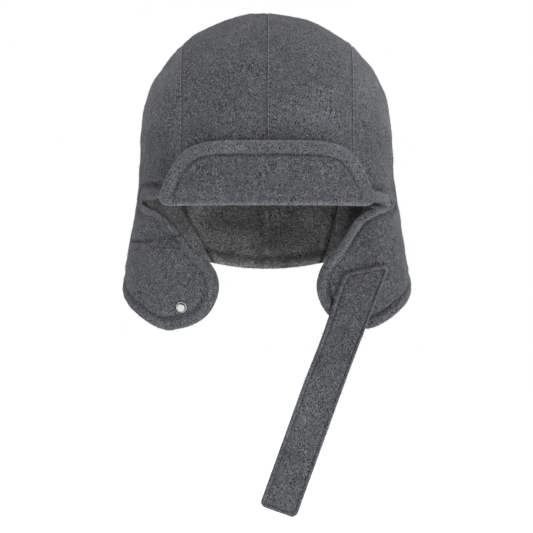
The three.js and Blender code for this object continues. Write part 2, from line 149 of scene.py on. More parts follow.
def along(table, at):
    """Smooth interpolation between a table's rows by its first column."""
    last = len(table) - 1
    place = np.clip(at, table[0, 0], table[-1, 0])
    i = np.clip(np.searchsorted(table[1:, 0], place, "left"), 0, last - 1)
    a, b = table[i], table[i + 1]
    before, after = table[np.maximum(i - 1, 0)], table[np.minimum(i + 2, last)]
    span = (b - a)[..., :1]
    t = (place - a[..., 0])[..., None] / span
    leave = (b - before) / (b - before)[..., :1] * span
    arrive = (after - a) / (after - a)[..., :1] * span
    return (
        (2 * t**3 - 3 * t**2 + 1) * a
        + (t**3 - 2 * t**2 + t) * leave
        + (3 * t**2 - 2 * t**3) * b
        + (t**3 - t**2) * arrive
    )


def mix(a, b, t):
    return a + (b - a) * t


def smooth(x, low, high):
    """0 below low, 1 above high, and a soft step between them."""
    t = np.clip((np.asarray(x, float) - low) / (high - low), 0, 1)
    return t * t * (3 - 2 * t)


def bell(x, width):
    """1 at x = 0, fading to nearly 0 two widths away."""
    return np.exp(-((x / width) ** 2))


def section(z):
    """Half width, front depth, back depth and squareness of the form's level at a height."""
    turn = np.arccos(np.clip((z - WIDEST) / CROWN_HEIGHT, 0, 1))
    ring = np.maximum(np.sin(turn), 1e-6)
    crown = along(CROWN_FORM, turn / (math.pi / 2))
    skirt = along(SKIRT_FORM, (WIDEST - z) / FLAP_DROP)
    above = z >= WIDEST
    half = HALF_WIDTH * np.where(above, ring * crown[..., 1], skirt[..., 1])
    front = FRONT_DEPTH * np.where(above, ring * crown[..., 2], skirt[..., 2])
    back = BACK_DEPTH * np.where(above, ring * crown[..., 3], skirt[..., 3])
    square = np.where(above, CROWN_SQUARENESS, mix(CROWN_SQUARENESS, FLAP_SQUARENESS, skirt[..., 4]))
    return half, front, back, square


def level(p):
    """Below 0 inside the form, 0 on it."""
    half, front, back, square = section(p[..., 2])
    depth = np.where(p[..., 1] < 0, front, back)
    return (np.abs(p[..., 0]) / half) ** square + (np.abs(p[..., 1]) / depth) ** square - 1


def outward(p, step=0.05):
    """The form's normal at points on it."""
    slope = [level(p + step * axis) - level(p - step * axis) for axis in np.eye(3)]
    n = np.stack(slope, -1)
    return n / np.linalg.norm(n, axis=-1, keepdims=True)


def on_ring(side, turn, z):
    """The form's point at a turn round the head, in degrees from the front, and a height."""
    half, front, back, square = section(z)
    power = 2 / square
    ahead = np.cos(np.radians(turn))
    depth = np.where(ahead > 0, -front, back)
    x = side * half * np.sin(np.radians(turn)) ** power
    return np.stack([x, depth * np.abs(ahead) ** power, z], -1)


def on_face(x, z, back=False):
    """The form's front or back point at a width and a height."""
    half, front, rear, square = section(np.asarray(z, float))
    rest = np.maximum(1 - (np.abs(x) / half) ** square, 0)
    y = (rear if back else -front) * rest ** (1 / square)
    x, y, z = np.broadcast_arrays(x, y, z)
    return np.stack([x, y, z], -1).astype(float)


def on_arch(x, over):
    """The point of the crown at a width and an angle over the top, from the front."""
    x, over = np.broadcast_arrays(np.asarray(x, float), np.asarray(over, float))
    near = np.zeros(x.shape)
    far = np.full(x.shape, 2.0 * max(CROWN_HEIGHT, FRONT_DEPTH, BACK_DEPTH))

    def at(reach):
        return np.stack([x, -reach * np.cos(over), WIDEST + reach * np.sin(over)], -1)

    for _ in range(40):
        middle = (near + far) / 2
        p = at(middle)
        inside = (p[..., 2] < WIDEST + CROWN_HEIGHT) & (level(p) < 0)
        near = np.where(inside, middle, near)
        far = np.where(inside, far, middle)
    return at(near)


def at_seam(side, share, drop, back, x_of, reach=1.0):
    """A point at a share of the way along the side seam from its top; x_of gives its width."""
    arch = math.pi / 2 * CROWN_HEIGHT
    way = share * (arch + drop)
    lean = min(way / CROWN_HEIGHT, math.pi / 2)
    below = max(way - arch, 0.0)
    over = math.pi / 2 + (lean if back else -lean)
    form = BACK_SEAM[side]
    seam = mix(SEAM_TOP, form[0, 1] if back else SEAM_BROW, abs(math.cos(over)))
    if below > 0:
        seam = along(form, np.float64(below / drop))[1] if back else SEAM_BROW
    x = side * x_of(seam)
    if below == 0:
        return on_arch(x, over)
    return on_face(x, WIDEST - below * reach, back)


def ring_place(p):
    """The turn and height of points on the form: on_ring the other way round."""
    half, front, back, square = section(p[..., 2])
    depth = np.where(p[..., 1] < 0, front, back)
    across = (np.abs(p[..., 0]) / half) ** (square / 2)
    ahead = (np.abs(p[..., 1]) / depth) ** (square / 2)
    turn = np.degrees(np.arctan2(across, ahead))
    return np.stack([np.where(p[..., 1] < 0, turn, 180 - turn), p[..., 2]], -1)


def spread(count, length, pull=1.35):
    """Shares from 0 to 1, closer at both ends where the row is long."""
    b = pull * float(np.clip((length - 30) / 80, 0.02, 1))
    s = np.linspace(-1, 1, count)
    return 0.5 * (1 + np.tanh(b * s) / math.tanh(b))


def centre_grid(side, rows=200, columns=60):
    """A centre panel's outside points, from the brow hem to the nape hem."""
    grid = []
    front = np.linspace(1, 0, rows // 3, endpoint=False)
    back = 1 - np.linspace(1, 0, rows - len(front)) ** 1.7
    t = spread(columns, 60, 1.6)
    for is_back, shares, drop in ((False, front, BROW_DROP), (True, back, NAPE_SIDE_DROP)):
        arch = math.pi / 2 * CROWN_HEIGHT
        for share in shares:
            low = max(share * (arch + drop) - arch, 0) / drop
            lower = (NAPE_DROP / NAPE_SIDE_DROP - 1) * (1 - t**2) if is_back else 0
            grid.append(
                at_seam(side, share, drop, is_back, lambda seam: mix(-0.1, seam + 0.1, t), 1 + lower * low)
            )
    return np.array(grid)


def rails(side, fine):
    """The front and back rail of a side panel as turn and height, for rows counted as the solids do."""
    edge = np.vstack([TEMPLE[side], FLAP_FRONT])
    loop = np.vstack([
        np.column_stack([edge[:, 0], mix(BROW, TIP, edge[:, 1])]),
        np.column_stack([FLAP_BACK[:, 0], mix(NAPE_SIDE, TIP, FLAP_BACK[:, 1])])[-2::-1],
    ])

    def seam(share, drop, back):
        return ring_place(at_seam(side, share, drop, back, lambda s: np.float64(s - 0.1)))

    start = seam(1, BROW_DROP, False)
    end = seam(1, NAPE_SIDE_DROP, True)
    points = np.vstack([start, loop, end])
    rows = np.arange(FRONT_ROWS, FRONT_ROWS + len(points))
    if side > 0:
        forward = along(RIGHT_FORWARD, rows.astype(float))[:, 1]
        points[:, 0] -= forward * (rows >= RIGHT_FORWARD[0, 0])
    table = np.column_stack([rows, points])
    front = []
    back = []
    for u in fine:
        if u <= FRONT_ROWS:
            front.append(seam(u / FRONT_ROWS, BROW_DROP, False))
        else:
            front.append(along(table, np.float64(u))[1:])
        if u <= BACK_ROWS:
            back.append(seam(u / BACK_ROWS, NAPE_SIDE_DROP, True))
        else:
            back.append(along(table, np.float64(2 * TIP_ROW - u))[1:])
    front, back = np.array(front), np.array(back)
    for rail, begins, sign in ((front, FRONT_ROWS, 1), (back, BACK_ROWS, -1)):
        free = fine > begins
        place = on_ring(side, rail[:, 0], rail[:, 1])
        flat = np.column_stack([np.radians(rail[:, 0]) * np.hypot(place[:, 0], place[:, 1]), rail[:, 1]])
        ahead = np.gradient(flat, axis=0)
        ahead /= np.maximum(np.linalg.norm(ahead, axis=1, keepdims=True), 1e-9)
        push = EDGE_PUSH[side] * smooth(fine, begins, begins + 1.5)[:, None] * free[:, None]
        moved = flat + push * sign * np.column_stack([ahead[:, 1], -ahead[:, 0]])
        rail[:, 1] = moved[:, 1]
        rail[:, 0] = np.degrees(moved[:, 0] / np.hypot(place[:, 0], place[:, 1]))
    tip = (front[-1] + back[-1]) / 2
    front[-1] = back[-1] = tip
    return front, back


def side_grid(side, per_row=6, columns=132):
    """A side panel's outside points, and the row number of each row."""
    fine = np.linspace(0, TIP_ROW, TIP_ROW * per_row + 1)
    front, back = rails(side, fine)
    grid = []
    for a, b in zip(front, back):
        rough = on_ring(side, np.linspace(a[0], b[0], 12), np.linspace(a[1], b[1], 12))
        length = np.linalg.norm(np.diff(rough, axis=0), axis=1).sum()
        t = spread(columns, length)
        grid.append(on_ring(side, mix(a[0], b[0], t), mix(a[1], b[1], t)))
    return np.array(grid), fine


def dense(line, values, step=0.3):
    """A polyline with points every step, and a value carried along it."""
    gaps = np.linalg.norm(np.diff(line, axis=0), axis=1)
    way = np.concatenate([[0], np.cumsum(gaps)])
    at = np.linspace(0, way[-1], max(int(way[-1] / step), 2))
    points = np.column_stack([np.interp(at, way, line[:, k]) for k in range(3)])
    return points, np.interp(at, way, values)


def nearest(points, line, values):
    """Distance of each point to a line, and the line's value there."""
    tree = KDTree(len(line))
    for i, p in enumerate(line):
        tree.insert(p, i)
    tree.balance()
    flat = points.reshape(-1, 3)
    found = [tree.find(p) for p in flat]
    distance = np.array([f[2] for f in found]).reshape(points.shape[:-1])
    value = values[[f[1] for f in found]].reshape(points.shape[:-1])
    return distance, value


class Waves:
    """Smooth random heights through space, about one unit high."""

    def __init__(self, length, count=22):
        direction = rng.normal(size=(count, 3))
        direction /= np.linalg.norm(direction, axis=1, keepdims=True)
        self.k = direction * (2 * math.pi / length) * rng.uniform(0.6, 1.5, (count, 1))
        self.phase = rng.uniform(0, 2 * math.pi, count)

    def __call__(self, p):
        flat = p.reshape(-1, 3)
        total = np.sin(flat @ self.k.T + self.phase).sum(1) / math.sqrt(len(self.phase) / 2)
        return total.reshape(p.shape[:-1])


BROAD = Waves(70)
SOFT = Waves(26)
LUMPS = Waves(9)


def rounding(d, radius, drop):
    """How far a surface turns down towards an edge at distance 0."""
    inside = np.clip(1 - d / radius, 0, 1)
    return -drop * (1 - np.sqrt(np.maximum(1 - inside**2, 0)))


def make(name, vertices, faces, material, tone=None, weld=True):
    """A mesh object in metres from points in millimetres, with doubled points merged.
    tone is how light the cloth is painted at each point: painted shade in its grooves, seams and folds, and
    painted highlights on its rims and edges."""
    mesh = bpy.data.meshes.new(name)
    mesh.from_pydata((np.asarray(vertices, float) * MM).tolist(), [], [list(f) for f in faces])
    values = np.ones(len(vertices)) if tone is None else np.asarray(tone, float).ravel()
    mesh.attributes.new("tone", "FLOAT", "POINT").data.foreach_set("value", values)
    obj = bpy.data.objects.new(name, mesh)
    bpy.context.scene.collection.objects.link(obj)
    if weld:
        bm = bmesh.new()
        bm.from_mesh(mesh)
        bmesh.ops.remove_doubles(bm, verts=bm.verts, dist=1e-6)
        bmesh.ops.dissolve_degenerate(bm, edges=bm.edges, dist=1e-7)
        bmesh.ops.recalc_face_normals(bm, faces=bm.faces)
        bm.to_mesh(mesh)
        bm.free()
    mesh.shade_smooth()
    mesh.materials.append(material)
    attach(obj, "root")
    return obj


def grid_faces(rows, columns, start=0, flip=False):
    """The quads between a grid's points."""
    i, j = np.meshgrid(np.arange(rows - 1), np.arange(columns - 1), indexing="ij")
    a = start + i * columns + j
    quads = np.stack([a, a + columns, a + columns + 1, a + 1], -1).reshape(-1, 4)
    return quads[:, ::-1] if flip else quads


def layered(outer, inner):
    """A closed body between two grids of points: its vertices and faces."""
    rows, columns = outer.shape[:2]
    under = rows * columns
    index = np.arange(under).reshape(rows, columns)
    border = np.concatenate([index[0, :], index[1:, -1], index[-1, -2::-1], index[-2:0:-1, 0]])
    after = np.roll(border, -1)
    strip = np.stack([border, after, after + under, border + under], -1)
    faces = np.vstack([grid_faces(rows, columns), grid_faces(rows, columns, under, True), strip])
    return np.vstack([outer.reshape(-1, 3), inner.reshape(-1, 3)]), faces


# Materials


def node(tree, kind, **values):
    """A new shader node with values for its inputs or its settings, by name."""
    n = tree.nodes.new(kind)
    for key, value in values.items():
        if key in n.inputs:
            n.inputs[key].default_value = value
        else:
            setattr(n, key, value)
    return n


def fleece(name, dark, light, hair, curl, curl_size=620, patch=0.08, sheen=0.15):
    """Brushed or curly fleece: hairs and curls between two tones, soft patches, a pile in relief."""
    material = bpy.data.materials.new(name)
    material.use_nodes = True
    tree = material.node_tree
    shader = tree.nodes["Principled BSDF"]
    place = node(tree, "ShaderNodeTexCoord").outputs["Object"]

    def noise(scale, detail, rough, distortion=0.0):
        n = node(tree, "ShaderNodeTexNoise", Scale=scale, Detail=detail)
        n.inputs["Roughness"].default_value = rough
        n.inputs["Distortion"].default_value = distortion
        tree.links.new(place, n.inputs["Vector"])
        return n.outputs["Fac"]

    def ramp(value, low, high, a=0.0, b=1.0):
        n = node(tree, "ShaderNodeMapRange")
        n.inputs["From Min"].default_value = low
        n.inputs["From Max"].default_value = high
        n.inputs["To Min"].default_value = a
        n.inputs["To Max"].default_value = b
        tree.links.new(value, n.inputs["Value"])
        return n.outputs["Result"]

    def times(*factors):
        total = factors[0]
        for factor in factors[1:]:
            n = node(tree, "ShaderNodeMath", operation="MULTIPLY")
            tree.links.new(total, n.inputs[0])
            tree.links.new(factor, n.inputs[1])
            total = n.outputs[0]
        return total

    # Hairs: noise drawn out along a direction that wanders over the cloth
    wander = node(tree, "ShaderNodeTexNoise", Scale=55, Detail=1)
    tree.links.new(place, wander.inputs["Vector"])
    bend = node(tree, "ShaderNodeVectorMath", operation="MULTIPLY_ADD")
    bend.inputs[1].default_value = (0.012, 0.012, 0.012)
    tree.links.new(wander.outputs["Color"], bend.inputs[0])
    tree.links.new(place, bend.inputs[2])
    lay = node(tree, "ShaderNodeMapping")
    lay.inputs["Rotation"].default_value = (0, 0.35, 0)
    lay.inputs["Scale"].default_value = (1, 0.3, 0.45)
    tree.links.new(bend.outputs["Vector"], lay.inputs["Vector"])
    hairs = node(tree, "ShaderNodeTexNoise", Scale=HAIR_SCALE, Detail=1, Roughness=0.6, Distortion=0.4)
    tree.links.new(lay.outputs["Vector"], hairs.inputs["Vector"])
    hairs = hairs.outputs["Fac"]
    cells = node(tree, "ShaderNodeTexVoronoi", feature="SMOOTH_F1", Scale=curl_size)
    tree.links.new(bend.outputs["Vector"], cells.inputs["Vector"])
    curls = ramp(cells.outputs["Distance"], 0, 0.9, 1, 0)
    spots = noise(330, 3, 0.65, 0.6)
    broad = noise(34, 3, 0.55, 0.3)
    # The tone attribute brings in each piece's painted shade and painted highlights
    tone = node(tree, "ShaderNodeAttribute", attribute_name="tone").outputs["Fac"]
    shade = times(
        ramp(hairs, 0.25, 0.75, 1 - 1.5 * hair, 1 + 1.5 * hair),
        ramp(curls, 0.2, 0.9, 1 - curl, 1 + 0.6 * curl),
        ramp(spots, 0.3, 0.7, 0.8, 1.2),
        ramp(broad, 0.32, 0.68, 1 - patch, 1 + patch),
        tone,
    )
    colour = node(tree, "ShaderNodeMix", data_type="RGBA", blend_type="MIX")
    colour.inputs[6].default_value = (*dark, 1)
    colour.inputs[7].default_value = (*light, 1)
    tree.links.new(ramp(shade, 0.2, 2.2), colour.inputs[0])
    tree.links.new(colour.outputs[2], shader.inputs["Base Color"])
    shader.inputs["Roughness"].default_value = 0.95
    shader.inputs["Specular IOR Level"].default_value = 0.15
    shader.inputs["Sheen Weight"].default_value = sheen
    shader.inputs["Sheen Roughness"].default_value = 0.45
    shader.inputs["Sheen Tint"].default_value = (0.95, 0.96, 1, 1)
    pile = node(tree, "ShaderNodeBump", Strength=0.9, Distance=0.0007)
    tree.links.new(hairs, pile.inputs["Height"])
    loops = node(tree, "ShaderNodeBump", Strength=min(1.6 * curl, 1), Distance=0.001)
    tree.links.new(curls, loops.inputs["Height"])
    tree.links.new(pile.outputs["Normal"], loops.inputs["Normal"])
    tree.links.new(loops.outputs["Normal"], shader.inputs["Normal"])
    return material


def metal(name):
    """Brushed nickel with fine scratches in its roughness."""
    material = bpy.data.materials.new(name)
    material.use_nodes = True
    tree = material.node_tree
    shader = tree.nodes["Principled BSDF"]
    shader.inputs["Metallic"].default_value = 1
    place = node(tree, "ShaderNodeTexCoord").outputs["Object"]
    scratches = node(tree, "ShaderNodeTexNoise", Scale=2600, Detail=3, Distortion=2.0)
    tree.links.new(place, scratches.inputs["Vector"])
    rough = node(tree, "ShaderNodeMapRange")
    rough.inputs["To Min"].default_value = 0.3
    rough.inputs["To Max"].default_value = 0.5
    tree.links.new(scratches.outputs["Fac"], rough.inputs["Value"])
    tree.links.new(rough.outputs["Result"], shader.inputs["Roughness"])
    shader.inputs["Base Color"].default_value = (0.5, 0.5, 0.49, 1)
    return material


SHELL = fleece("shell_fleece", (0.0155, 0.016, 0.018), (0.16, 0.164, 0.18), 1.18, 0.06)
LINING = fleece("lining_fleece", (0.008, 0.008, 0.008), (0.44, 0.44, 0.437), 0.4, 0.46, 950)
FIBRE = fleece("fibre", (0.03, 0.031, 0.034), (0.4, 0.41, 0.43), 0.4, 0.3, 300)
THREAD = fleece("thread", (0.16, 0.163, 0.172), (0.45, 0.455, 0.47), 0.1, 0.05)
METAL = metal("snap_metal")


def finish_piece(obj, slot, *nodes):
    """Hides the solids that a piece stands for. Its slot is not used."""
    if nodes:
        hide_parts(*nodes)
    return obj


# Shell and lining


def crease(p, line, depths, width):
    """How far the cloth sinks at a pressed fold along a line on the form, with its depth there."""
    distance, deep = nearest(p, line, depths)
    return deep * bell(distance, width)


# Distance of the lining's hem stitching from the free edge
LINING_HEM = 8


def shell_relief(points, free, join, rim, rolled, sink):
    """How far the shell's outer and inner surface stand off the form."""
    groove, depth, puff = rim
    roll, reach, _ = rolled
    swell = 0.35 * BROAD(points) + 0.28 * SOFT(points)
    swell = swell * smooth(join, 0, 10) * smooth(free, 2, 14)
    hem = puff * np.sin(np.clip(free / groove, 0, 1) * math.pi) ** 0.8
    hem = hem - depth * bell(free - groove, 1.5) + 0.35 * smooth(free, groove, groove + 6)
    valley = -0.55 * bell(join, 0.6) + 0.15 * bell(join - 3.0, 2.0)
    outer = hem + valley * smooth(free, 0, 3) + swell + 0.08 * LUMPS(points) - sink - 0.4
    outer = outer - 0.7 * smooth(points[..., 2], -50, -8)
    outer = mix(0, outer, smooth(free, 0, 1.2)) + rounding(free, roll, reach)
    inner = np.minimum(-SHELL_CLOTH, outer - 0.5 * smooth(free, 0, 1) - 0.1)
    inner = mix(-reach - 0.15, inner, smooth(free, 0, 0.8))
    return outer, inner


def shell_tone(points, free, join, rim, lip, sink):
    """How light the shell is painted: painted shade in its seams, grooves and folds, painted highlights on
    its rims and rolled lip, painted sheen and light towards the top, and darker on the flaps.
    """
    groove, depth, _ = rim
    # Painted shade in the stitched groove, the seams and the folds; painted highlights on the ridge past the
    # groove, on the puffed rim and on the rolled lip
    tone = 1 - 0.26 * np.minimum(depth, 1.6) * bell(free - groove, 1.2) - 0.36 * bell(join, 0.7)
    tone = tone + 0.14 * np.minimum(depth, 1) * bell(free - groove - 2.2, 0.45)
    tone = tone + 0.1 * bell(free - 0.6 * groove, 0.35 * groove) - 0.34 * sink
    tone = tone + lip * (smooth(-free, -groove, -groove * 0.6) + 0.35 * bell(free - 0.5 * groove, 1.1))
    x, z = points[..., 0], points[..., 2]
    # Darker on the flaps, more on the right
    right = smooth(x, -10, 10)
    tone = tone - mix(0.06, 0.16, right) * smooth(-z, 122, 135)
    # Painted sheen: the side panels are lighter towards the top, as grazing light lights their pile; the
    # centre panels are a little darker there, and the side panels are darker above the temple and inside the
    # flap's neck
    flank = smooth(np.abs(x), 54, 56)
    tone = tone + mix(-0.05, mix(0.42, 0.24, right), flank) * smooth(z, -66, -32)
    over_temple = smooth(-z, 64, 80) * smooth(z, -121, -114)
    tone = tone - mix(0.3, 0.2, right) * smooth(np.abs(x), 57, 64) * over_temple
    tone = tone - 0.36 * bell(x + 62, 12) * bell(z + 131, 14)
    tone = tone - 0.32 * bell(x - 62, 10) * bell(z + 138, 13)
    # Painted light: the crown is lighter just above the peak, most on the right
    lit_above_peak = smooth(-points[..., 1], 20, 50) * bell(z + 66, 12)
    return tone + (0.1 + 0.2 * bell(x - 28, 24)) * lit_above_peak * (1 - flank)


def lining_relief(points, free, seam, middle, reach):
    """How deep the lining's two surfaces lie below the form. It starts where the shell's edge ends."""
    top = np.maximum(SHELL_CLOTH + CLOTH_GAP, reach + 0.2 - 3 * free)
    hem = 0.8 * np.sin(np.clip(free / LINING_HEM, 0, 1) * math.pi) - 0.5 * bell(free - LINING_HEM, 1.4)
    fall = -1.5 * bell(seam, 1.3) + 0.5 * bell(seam - 3.4, 2.0) + 0.5 * bell(middle, 1.4)
    face = 0.4 + hem + fall + 0.7 * SOFT(points + 90) * smooth(seam, 0, 8) + 0.2 * LUMPS(points)
    under = WALL + face + rounding(free, 2.6, WALL - reach)
    return top, np.maximum(under, top + 0.25)


def lining_tone(points, free, seam, middle):
    """How light the lining is painted: painted shade in its hem groove, its seams and towards the flaps, a
    painted highlight along the centre seam, upright streaks of painted light and shade, and lighter on the
    left where the light falls on it.
    """
    x = points[..., 0]
    tone = 1 - 0.1 * bell(free - LINING_HEM, 1.2) - 0.4 * bell(seam, 1.5) + 0.3 * bell(middle, 1.3)
    tone = tone + 0.12 * SOFT(points * [1, 1, 0.2] + 40) - 0.004 * np.clip(x, -45, 45)
    return tone - 0.48 * smooth(np.abs(x), 50, 60)


def cloth(points, free, seam, middle, rim, rolled, folds):
    """The surfaces of one panel's shell, outer and inner, and of its lining, and the tone of both.
    free, seam and middle are distances to the free edge, the side seam and the centre seam."""
    away = outward(points)
    join = np.minimum(seam, middle)
    _, reach, lip = rolled
    sink = sum((crease(points, *f) for f in folds), np.zeros(free.shape))
    outer, inner = shell_relief(points, free, join, rim, rolled, sink)
    top, under = lining_relief(points, free, seam, middle, reach)
    offsets = (outer, inner, -top, -under)
    shell_out, shell_in, lining_out, lining_in = (points + away * rise[..., None] for rise in offsets)
    tone = shell_tone(points, free, join, rim, lip, sink)
    return shell_out, shell_in, lining_out, lining_in, tone, lining_tone(points, free, seam, middle)


def distances(points, lines):
    """Distance of each point to the nearest of some lines, and that line's value there."""
    best, value = np.full(points.shape[:-1], np.inf), np.zeros(points.shape[:-1])
    for line, values in lines:
        distance, found = nearest(points, *dense(line, values))
        value = np.where(distance < best, found, value)
        best = np.minimum(distance, best)
    return best, value


def fold(place, path, width):
    """A pressed fold through path's rows, two measures on the form and a depth: place turns the
    measures into points."""
    path = np.array(path, float)
    rows = np.arange(len(path))
    at = np.linspace(0, len(path) - 1, 160)
    a, b, deep = (np.interp(at, rows, path[:, k]) for k in range(3))
    return place(a, b), deep, width


def temple_fold(side, path):
    """An upright fold behind the temple, where the flap's back part is held closer to the head,
    or with depths below zero the ridge before it."""
    return fold(lambda turn, z: on_ring(side, turn, z), path, 2.2)


# Folds by side: two cross the left flap, and on the right the strap's sewn end presses in
FOLDS = {
    -1: [
        fold(on_face, [(-88, -143.7, 1.8), (-78, -143.6, 1.7), (-70, -142.8, 1.3), (-62, -141.6, 1.4),
                       (-55, -140.2, 1.2)], 0.9),
        fold(on_face, [(-78, -148.5, 0.2), (-66, -146, 0.8), (-52, -144, 0.6)], 2.2),
        temple_fold(-1, [(78, -84, 0), (78, -98, 1.2), (78, -110, 1.9), (78, -119, 1.9), (77, -127, 0)]),
        temple_fold(-1, [(75.2, -84, 0), (75.2, -98, -0.5), (75.2, -118, -0.7), (75, -124, 0)]),
    ],
    1: [
        fold(on_face, [(45, -172, 0.2), (47, -165.6, 0.8), (50, -163.4, 1.0), (75.5, -159.4, 1.0),
                       (77, -162, 0.6), (73, -172, 0.3)], 0.8),
        temple_fold(1, [(78, -84, 0), (78, -98, 1.3), (78, -110, 2.1), (78, -117, 2.1),
                        (75.5, -121.5, 1.8), (70, -124.2, 1.4), (64, -126.6, 0.8)]),
        temple_fold(1, [(75.2, -84, 0), (75.2, -98, -0.6), (75.2, -108, -0.8), (75, -116, -1.0),
                        (72, -120, -0.9), (66, -123, 0)]),
    ],
}
# Painted highlight on the rolled lip of the temple: how much lighter it is, by the panel's row
LIP_HIGHLIGHT = {
    -1: np.array([[12, 0], [15, 0.08], [26, 0.05], [48, 0]]),
    1: np.array([[12, 0.1], [15, 0.4], [18, 1.0], [23, 1.0], [27, 0.15], [48, 0]]),
}
# Each cloth as cut, in metres: its width round the head and its length, then its area. They are
# measured on the form, where the cloth lies, and are the mean of the left and the right panel.
CENTRE_CUT = (0.067, 0.388), 0.0227
SIDE_CUT = (0.16, 0.289), 0.0242
surfaces = {}
hidden = {}
for label, side in (("left", -1), ("right", 1)):
    flank, rows_at = side_grid(side)
    centre = centre_grid(side)
    on_front, on_back = rows_at >= FRONT_ROWS, rows_at >= BACK_ROWS
    free_line = np.vstack([flank[on_front, 0], flank[on_back, -1][-2::-1]])
    free_rows = np.concatenate([rows_at[on_front], 2 * TIP_ROW - rows_at[on_back][-2::-1]])
    seam_line = np.vstack([flank[rows_at <= FRONT_ROWS, 0][::-1], flank[rows_at <= BACK_ROWS, -1][1:]])
    seams = [(seam_line, np.zeros(len(seam_line)))]
    hems = [
        (free_line, free_rows),
        (centre[0], np.full(centre.shape[1], 12.0)),
        (centre[-1], np.full(centre.shape[1], 48.0)),
    ]
    for part, lining_part, points, (flat, area) in (
        ("crown_panel", "lining_centre", centre, CENTRE_CUT),
        ("side_panel", "lining_side", flank, SIDE_CUT),
    ):
        free, at = distances(points, hems)
        seam, _ = distances(points, seams)
        middle = np.abs(points[..., 0])
        rim = np.moveaxis(along(RIM_FORM[side], at)[..., 1:], -1, 0)
        rolled = [*np.moveaxis(along(ROLL_FORM[side], at)[..., 1:], -1, 0), along(LIP_HIGHLIGHT[side], at)[..., 1]]
        folds = FOLDS[side] if part == "side_panel" else []
        out, inn, lining_out, lining_in, tone, tone_in = cloth(points, free, seam, middle, rim, rolled, folds)
        surfaces[part, label] = out
        hidden[part, label] = inn
        shell = make(f"{part}_{label}_cloth", *layered(out, inn), SHELL, [tone, tone])
        finish_piece(shell, "shell_fleece", f"{part}_{label}")
        rows = np.unique(np.append(np.arange(0, len(points), 2), len(points) - 1))
        thin = [grid[rows] for grid in (lining_out, lining_in)]
        name = f"{lining_part}_{label}"
        lining = make(f"{name}_cloth", *layered(*thin), LINING, [tone_in[rows], tone_in[rows]])
        finish_piece(lining, "lining_fleece", name)

# Peak

PEAK_HALF_WIDTH = 64.4
PEAK_HEIGHT = 40
PEAK_END_HEIGHT = 7
PEAK_FOLD = BROW - 5.6
PEAK_LEAN = 4
PEAK_PADDING = 6
PEAK_CORNER = 4.0
# Distance of the rim's stitched groove from the edge, and radii of the turned edge and the fold
PEAK_RIM = 8.6
PEAK_ROLL = 3.2
PEAK_FOLD_ROLL = 3.4
# Height above a padded piece's back at which its two faces meet, as a share of its padding
SEAM_RISE = 0.45


def peak_height(x):
    """How high the turned-up peak reaches above its fold, at a width."""
    end = np.minimum(np.abs(x) / PEAK_HALF_WIDTH, 1) ** 6
    return mix(PEAK_END_HEIGHT, PEAK_HEIGHT, (1 - end) ** 1.1)


def rolled_edge(d, roll):
    """0 at an edge and 1 where a round of this radius has reached its full height."""
    return np.sqrt(np.maximum(1 - np.clip(1 - d / roll, 0, 1) ** 2, 0))


def peak_piece(columns=190, rows=64):
    """The peak's front and back points, and how light they look."""
    s = np.linspace(-1, 1, columns)
    x = PEAK_HALF_WIDTH * np.tanh(1.5 * s) / math.tanh(1.5)
    top = peak_height(x)
    past = np.clip(np.abs(x) - (PEAK_HALF_WIDTH - PEAK_CORNER), 0, PEAK_CORNER)
    foot = PEAK_CORNER - np.sqrt(PEAK_CORNER**2 - past**2)
    edge = np.vstack([
        np.column_stack([x, foot])[:14][::-1],
        np.column_stack([x, top]),
        np.column_stack([x, foot])[-14:][::-1],
    ])
    line = np.column_stack([edge, np.zeros(len(edge))])
    line, values = dense(line, np.zeros(len(line)), 0.25)
    rise = spread(rows, 110, 1.2)
    height = foot + rise[:, None] * (top - foot)
    wide = np.broadcast_to(x, height.shape)
    flat = np.stack([wide, height, np.zeros(height.shape)], -1)
    d, _ = nearest(flat, line, values)
    lean = CLOTH_GAP + PEAK_LEAN * (height / PEAK_HEIGHT) ** 2
    full = rolled_edge(d, PEAK_ROLL)
    fold = rolled_edge(height - foot, PEAK_FOLD_ROLL)
    rim = 1.7 * np.sin(np.clip(d / PEAK_RIM, 0, 1) * math.pi) ** 0.7 - 1.1 * bell(d - PEAK_RIM, 0.8)
    level_place = np.stack([wide, np.zeros(height.shape), height], -1)
    fade = smooth(height, 2, 9) * (1 - 0.85 * smooth(wide, 48, 58))
    body = PEAK_PADDING + rim * fade + 0.45 * SOFT(level_place) * smooth(d, 4, 14)
    body = body + 0.1 * LUMPS(level_place)
    middle = PEAK_PADDING * SEAM_RISE
    front = lean + middle + (body - middle) * full * mix(0.35, 1, fold)
    back = lean + middle * (1 - full)
    z = PEAK_FOLD + height
    base = on_face(wide, np.maximum(z, BROW))
    away = outward(on_face(x, BROW))
    away[:, 2] = 0
    away /= np.linalg.norm(away, axis=1, keepdims=True)
    base[..., 2] = z
    outer = base + away[None] * front[..., None]
    inner = base + away[None] * back[..., None]
    # Below the hem the back face turns in under the hat's wall
    below = smooth(-(z - BROW), -1.0, 2.5) * full
    inner = inner - away[None] * (below * (WALL * 0.8))[..., None]
    # Painted highlights on the puffed rim, the turned edge and the fold at the bottom, and painted shade in
    # the rim's stitched groove
    tone = 0.92 + (0.3 * smooth(-d, -PEAK_RIM, -PEAK_RIM + 1.2) - 0.34 * bell(d - PEAK_RIM - 0.3, 0.7)) * fade
    tone = tone + 0.95 * bell(height - foot, 1.8) + 0.3 * bell(d - 0.8, 0.8)
    return outer, inner, tone


peak_out, peak_in, peak_tone = peak_piece()
peak = make("peak_cloth", *layered(peak_out, peak_in), SHELL, [peak_tone, peak_tone])
finish_piece(peak, "shell_fleece", "peak")

# Chin strap

